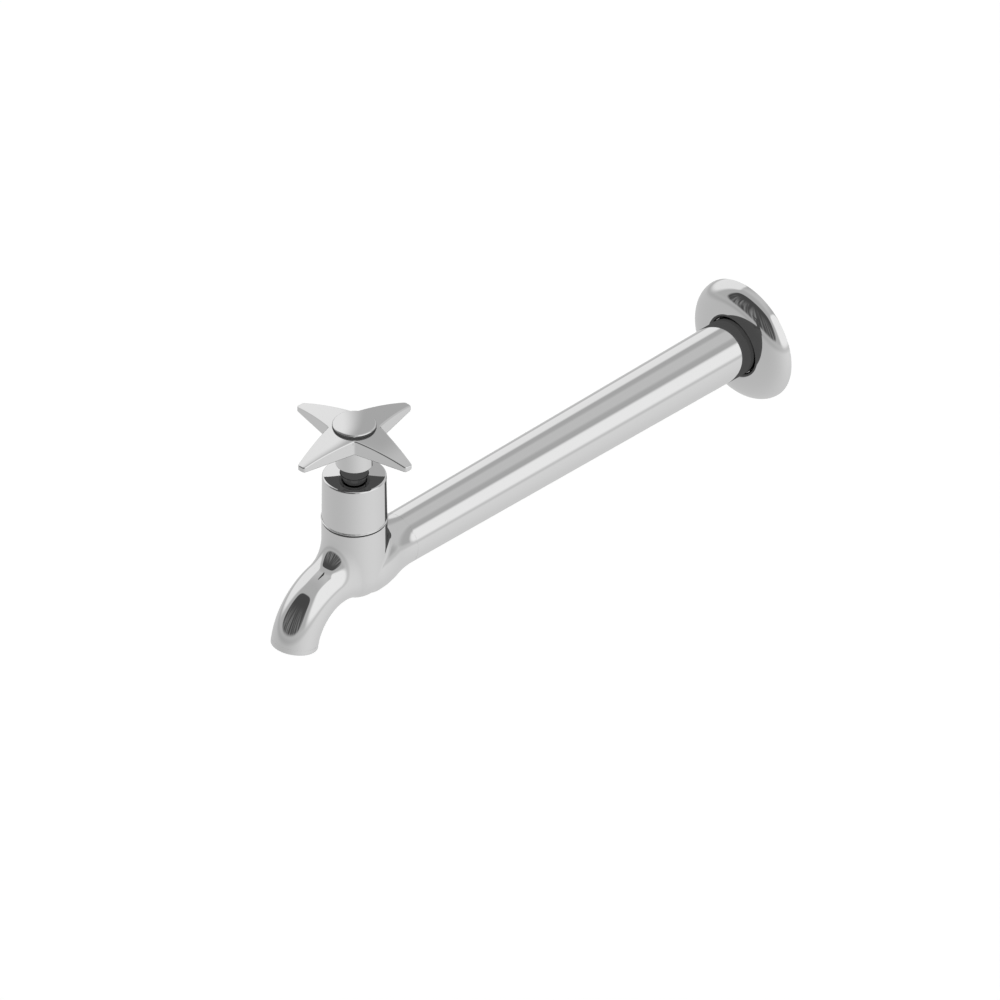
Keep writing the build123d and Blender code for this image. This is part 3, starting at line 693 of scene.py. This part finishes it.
# Cross handle
# One brass casting, plated: four tapering arms under a low dome with softly broken edges, a skirted hub
# below and a seat for the cap on top. The arms stand half a degree off square.
arms_low_z = 65.9
dome_top_z = 73.9
handle_reach = 33.45
tip_half_width = 2.0
tip_rounding = 1.5
tip_fall = 5.35
notch_place = 8.0
notch_rounding = 1.2
top_edge = 0.8
low_edge = 0.7
rest_turn = radians(0.5)
hub_radius = 8.2
hub_low_z = 53.8
hub_edge = 0.4
skirt_bore = 6.7
skirt_ceiling_z = 60.6
cap_seat_radius = 9.8
cap_seat_z = 73.3
cap_recess = (6.6, 69.1)

dome_radius = (handle_reach**2 + tip_fall**2) / (2 * tip_fall)
dome_centre_z = dome_top_z - dome_radius


def handle_outline(edge_steps=26, arc_steps=9):
    """Outline seen from above, with its outward ways: an eighth of it, mirrored and turned round.

    The eighth is half a tip, the tip's round corner, an arm's straight side and half a round notch.
    """
    run = np.array([notch_place - handle_reach, notch_place - tip_half_width])
    side_way = np.array([run[1], -run[0]]) / np.hypot(*run)
    side_angle = atan2(side_way[1], side_way[0])
    corner_y = tip_half_width - tip_rounding * (1 - side_way[0]) / side_way[1]
    corner = np.array([handle_reach - tip_rounding, corner_y])
    notch = notch_place + notch_rounding / (side_way[0] + side_way[1])
    turn = np.linspace(0, side_angle, arc_steps)
    corner_ways = np.stack([np.cos(turn), np.sin(turn)], -1)
    turn = np.linspace(side_angle, pi / 4, arc_steps)
    notch_ways = np.stack([np.cos(turn), np.sin(turn)], -1)
    start, end = corner + tip_rounding * side_way, notch - notch_rounding * side_way
    steps = np.linspace(0, 1, edge_steps)[1:-1, None]
    places = [[(handle_reach, 0)], corner + tip_rounding * corner_ways,
              start + steps * (end - start), notch - notch_rounding * notch_ways]
    ways = [[(1, 0)], corner_ways, np.tile(side_way, (edge_steps - 2, 1)), notch_ways]
    eighth = np.hstack([np.concatenate(places), np.concatenate(ways)])
    quarter = np.concatenate([eighth, eighth[-2:0:-1][:, [1, 0, 3, 2]]])
    whole = [quarter]
    for _ in range(3):
        last = whole[-1]
        whole.append(np.stack([-last[:, 1], last[:, 0], -last[:, 3], last[:, 2]], -1))
    whole = np.concatenate(whole + [quarter[:1]])
    return whole[:, :2], whole[:, 2:]


def swung(first, second, steps):
    """Rows of ways that swing evenly from one way to another, the shorter way round."""
    angle = np.arccos(np.clip((first * second).sum(-1), -1, 1))[:, None]
    shares = np.linspace(0, 1, steps)[:, None, None]
    return (np.sin((1 - shares) * angle) * first + np.sin(shares * angle) * second) / np.sin(angle)


def raised(flat, height):
    """Flat places put at a height."""
    return np.concatenate([flat, np.broadcast_to(height, flat.shape[:-1])[..., None]], -1)


outline, outward = handle_outline()
spokes = outline / length_of(outline)[:, None]
count = len(outline)
up, down = np.tile((0.0, 0, 1), (count, 1)), np.tile((0.0, 0, -1), (count, 1))
level_out, level_spokes = raised(outward, 0), raised(spokes, 0)
low_centres = raised(outline - low_edge * outward, arms_low_z + low_edge)
top_flat = outline - top_edge * outward
top_z = dome_centre_z + np.sqrt((dome_radius - top_edge) ** 2 - (top_flat**2).sum(-1))
top_centres = raised(top_flat, top_z)
dome_ways = (top_centres - (0, 0, dome_centre_z)) / (dome_radius - top_edge)


def level_ring(radius, height):
    """Ring of places on the handle's spokes, at one radius and height."""
    return raised(radius * spokes, height)


def flat_grid(rows, ways):
    """Grid of some rows of places that share one row of ways."""
    return np.stack(rows), np.stack([ways] * len(rows))


under_start = level_ring(hub_radius, arms_low_z)
under_end = low_centres - (0, 0, low_edge)
shares = np.linspace(0, 1, 7)[:, None, None]
underside = under_start + shares * (under_end - under_start)
low_ways = swung(down, level_out, 7)
top_ways = swung(level_out, dome_ways, 9)
dome_start = top_centres + top_edge * dome_ways
shares = np.linspace(0, 1, 14)[:, None, None]
dome_flat = dome_start[:, :2] + shares * (cap_seat_radius * spokes - dome_start[:, :2])
dome_rows = raised(dome_flat, dome_centre_z + np.sqrt(dome_radius**2 - (dome_flat**2).sum(-1)))
skirt_ways = swung(down, level_spokes, 6)
hub_corner = level_ring(hub_radius - hub_edge, hub_low_z + hub_edge)
handle_grids = [
    flat_grid([level_ring(0, skirt_ceiling_z), level_ring(skirt_bore, skirt_ceiling_z)], down),
    flat_grid([level_ring(skirt_bore, skirt_ceiling_z), level_ring(skirt_bore, hub_low_z)], -level_spokes),
    flat_grid([level_ring(skirt_bore, hub_low_z), level_ring(hub_radius - hub_edge, hub_low_z)], down),
    (hub_corner + hub_edge * skirt_ways, skirt_ways),
    flat_grid([level_ring(hub_radius, hub_low_z + hub_edge), under_start], level_spokes),
    (underside, np.stack([down] * 7)),
    (low_centres + low_edge * low_ways, low_ways),
    flat_grid([low_centres + low_edge * level_out, top_centres + top_edge * level_out], level_out),
    (top_centres + top_edge * top_ways, top_ways),
    (dome_rows, (dome_rows - (0, 0, dome_centre_z)) / dome_radius),
    flat_grid([dome_rows[-1], level_ring(cap_seat_radius, cap_seat_z)], -level_spokes),
    flat_grid([level_ring(cap_seat_radius, cap_seat_z), level_ring(cap_recess[0], cap_seat_z)], up),
    flat_grid([level_ring(cap_recess[0], cap_seat_z), level_ring(*cap_recess)], -level_spokes),
    flat_grid([level_ring(*cap_recess), level_ring(0, cap_recess[1])], up),
]
swing = np.array([[cos(rest_turn), sin(rest_turn), 0], [-sin(rest_turn), cos(rest_turn), 0], [0, 0, 1]])
handle_grids = [(points @ swing, ways @ swing) for points, ways in handle_grids]
handle = make_piece("handle", woven(handle_grids), chrome, "handle")
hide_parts("cross_handle")

# Cap
# A low-domed button, turned and plated, on a hollow spigot that plugs into the handle over its screw.
cap_radius = 9.65
cap_low_z = 73.35
cap_rim_z = cap_low_z + 1.8
cap_crown = 0.4
cap_edge = 0.7
cap_foot_edge = 0.1
spigot_radius = 6.45
spigot_bore = 5.05
spigot_low_z = 70.05

crown_radius = (cap_radius**2 + cap_crown**2) / (2 * cap_crown)
crown_centre_z = cap_rim_z + cap_crown - crown_radius
edge_place = cap_radius - cap_edge
edge_z = crown_centre_z + ((crown_radius - cap_edge) ** 2 - edge_place**2) ** 0.5
edge_angle = degrees(atan2(edge_z - crown_centre_z, edge_place))
foot_centre = (cap_radius - cap_foot_edge, cap_low_z + cap_foot_edge)
cap = make_piece("cap", woven(turned([
    straight((0, cap_low_z), (spigot_bore, cap_low_z)),
    straight((spigot_bore, cap_low_z), (spigot_bore, spigot_low_z)),
    straight((spigot_bore, spigot_low_z), (spigot_radius, spigot_low_z)),
    straight((spigot_radius, spigot_low_z), (spigot_radius, cap_low_z)),
    straight((spigot_radius, cap_low_z), (foot_centre[0], cap_low_z)),
    bent(foot_centre, cap_foot_edge, -90, 0, 4),
    straight((cap_radius, foot_centre[1]), (cap_radius, edge_z)),
    bent((edge_place, edge_z), cap_edge, 0, edge_angle, 12),
    bent((0, crown_centre_z), crown_radius, edge_angle, 90, 12),
])), chrome, "handle")
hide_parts("handle_cap")

# Wall flange
# A dish pressed from brass sheet and plated, oval in section, with a rolled-in lip round the arm. It hides
# the hole in the wall and slides on the arm.
flange_radius = 28.4
dish_middle = 14.9
dish_half = np.array([flange_radius - dish_middle, 8.85])
dish_turn = 85.65
flange_sheet = 1.3
lip_radius = 2.3
lip_end_depth = 4.65
flange_steps = 288


def oval(half, start, end, rows):
    """Stretch of an oval section, between two angles in degrees. It bulges outwards if they rise."""
    angles = np.radians(np.linspace(start, end, rows))[:, None]
    ring = np.hstack([np.cos(angles), np.sin(angles)])
    return np.hstack([(dish_middle, 0) + ring * half, way_of(ring / half) * np.sign(end - start)])


dish = oval(dish_half, 0, dish_turn, 64)
lip_centre = dish[-1, :2] - lip_radius * dish[-1, 2:]
lip_start = degrees(atan2(dish[-1, 3], dish[-1, 2]))
flange_hole = lip_centre[0] - lip_radius
inner_half = dish_half - flange_sheet
flange = make_piece("flange", woven(turned([
    dish,
    bent(lip_centre, lip_radius, lip_start, 180, 24),
    straight((flange_hole, lip_centre[1]), (flange_hole, lip_end_depth)),
    straight((flange_hole, lip_end_depth), (dish_middle, lip_end_depth)),
    straight((dish_middle, lip_end_depth), (dish_middle, inner_half[1])),
    oval(inner_half, 90, 0, 40),
    straight((flange_radius - flange_sheet, 0), (flange_radius, 0)),
], (0, wall_at, 0), axis=(0, -1, 0), side=(0, 0, 1), steps=flange_steps)), chrome, "flange")
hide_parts("wall_flange")


# Inlet tail
# A brass nipple brazed into the arm's end. Its half-inch pipe thread, 14 turns to the inch, goes into the
# wall fitting; it isn't plated.
thread_pitch = 25.4 / 14
thread_depth = 1.16
thread_radius = 10.4775
tail_length = 14.5
tail_bevel = 2.5
tail_bore = 7.5
plug_radius = 10.76
plug_length = 14.0
turn_steps = 144
tail_rows = 193


def threaded(angle, offset):
    """Radius of the thread: the crest's, less a rounded groove that climbs one pitch a turn.

    At the tail's end the bevel cuts it down further, evenly.
    """
    groove = (1 - np.cos(tau * (offset / thread_pitch - angle / tau))) / 2
    bevel = np.maximum(offset - tail_length + tail_bevel, 0)
    return np.minimum(thread_radius - thread_depth * groove * np.clip(offset, 0, 1), thread_radius - bevel)


def material_of(name, first, second, metallic, roughness, scale, relief=0.0):
    """Material with two tones in soft patches, an uneven finish and a fine relief."""
    patch_edge, patch_roughness = (0.35, 0.65), 0.12
    grains_to_patch, relief_depth = 8, 0.2 * mm
    made = bpy.data.materials.new(name)
    board = Board(made)
    place = board.add("ShaderNodeTexCoord", output="Object")
    patches = board.add("ShaderNodeTexNoise", inputs={"Vector": place, "Scale": scale, "Detail": 4.0})
    share = patches.rising(*patch_edge)
    tone = board.add("ShaderNodeMix", {"data_type": "RGBA"}, {0: share, 6: (*first, 1), 7: (*second, 1)}, 2)
    grain_scale = scale * grains_to_patch
    grain = board.add("ShaderNodeTexNoise", inputs={"Vector": place, "Scale": grain_scale, "Detail": 2.0})
    bump = board.add("ShaderNodeBump", inputs={"Height": grain, "Strength": relief, "Distance": relief_depth})
    unevenness = roughness + share * patch_roughness
    surface = board.add("ShaderNodeBsdfPrincipled", inputs={
        "Base Color": tone, "Metallic": metallic, "Roughness": unevenness, "Normal": bump,
    })
    board.add("ShaderNodeOutputMaterial", inputs={"Surface": surface})
    return made


bare_brass = material_of("bare_brass", (0.72, 0.54, 0.27), (0.78, 0.62, 0.35), 1.0, 0.24, 180.0, 0.15)
ring_angles = np.linspace(0, tau, turn_steps + 1)
offsets = np.linspace(0, tail_length, tail_rows)[:, None]
radii = threaded(ring_angles, offsets)
step = 0.001
climb = (threaded(ring_angles, offsets + step) - threaded(ring_angles, offsets - step)) / (2 * step)
swerve = (threaded(ring_angles + step, offsets) - threaded(ring_angles - step, offsets)) / (2 * step)
ring = np.stack([np.sin(ring_angles), 0 * ring_angles, np.cos(ring_angles)], -1)
sideward = np.stack([np.cos(ring_angles), 0 * ring_angles, -np.sin(ring_angles)], -1)
along_tail = np.array([0, 1.0, 0])
thread_points = radii[..., None] * ring + (offsets[..., None] + wall_at) * along_tail
thread_ways = ring - climb[..., None] * along_tail - (swerve / radii)[..., None] * sideward
tail_end = turned([
    straight((thread_radius - tail_bevel, wall_at + tail_length), (tail_bore, wall_at + tail_length)),
    straight((tail_bore, wall_at + tail_length), (tail_bore, wall_at - plug_length)),
    straight((tail_bore, wall_at - plug_length), (plug_radius, wall_at - plug_length)),
    straight((plug_radius, wall_at - plug_length), (plug_radius, wall_at)),
    straight((plug_radius, wall_at), (thread_radius, wall_at)),
], axis=(0, 1, 0), side=(0, 0, 1), steps=turn_steps)
tail_end[0][0][0] = thread_points[-1]
tail_skin = woven([(thread_points, thread_ways), *tail_end])
inlet_tail = make_piece("threaded_tail", tail_skin, bare_brass, "tap")
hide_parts("inlet_tail")

# Hidden pieces
# Bonnet, spindle, jumper valve, screw, washers and rings. They keep the solids' meshes and get the look of
# what they are made of.
looks = {
    "black_rubber": ((0.025, 0.025, 0.026), (0.04, 0.04, 0.04), 0.0, 0.55, 220.0, 0.3),
    "red_fibre": ((0.38, 0.1, 0.07), (0.48, 0.16, 0.1), 0.0, 0.72, 260.0, 0.4),
    "graphite_packing": ((0.06, 0.06, 0.065), (0.11, 0.11, 0.12), 0.3, 0.5, 320.0, 0.5),
    "stainless_steel": ((0.56, 0.56, 0.57), (0.64, 0.64, 0.64), 1.0, 0.26, 240.0, 0.1),
}
materials = {name: material_of(name, *look) for name, look in looks.items()}
materials["plated_brass"], materials["bare_brass"] = chrome, bare_brass
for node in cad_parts.values():
    for slot in node.material_slots:
        slot.material = materials[slot.material.name.split(".")[0]]
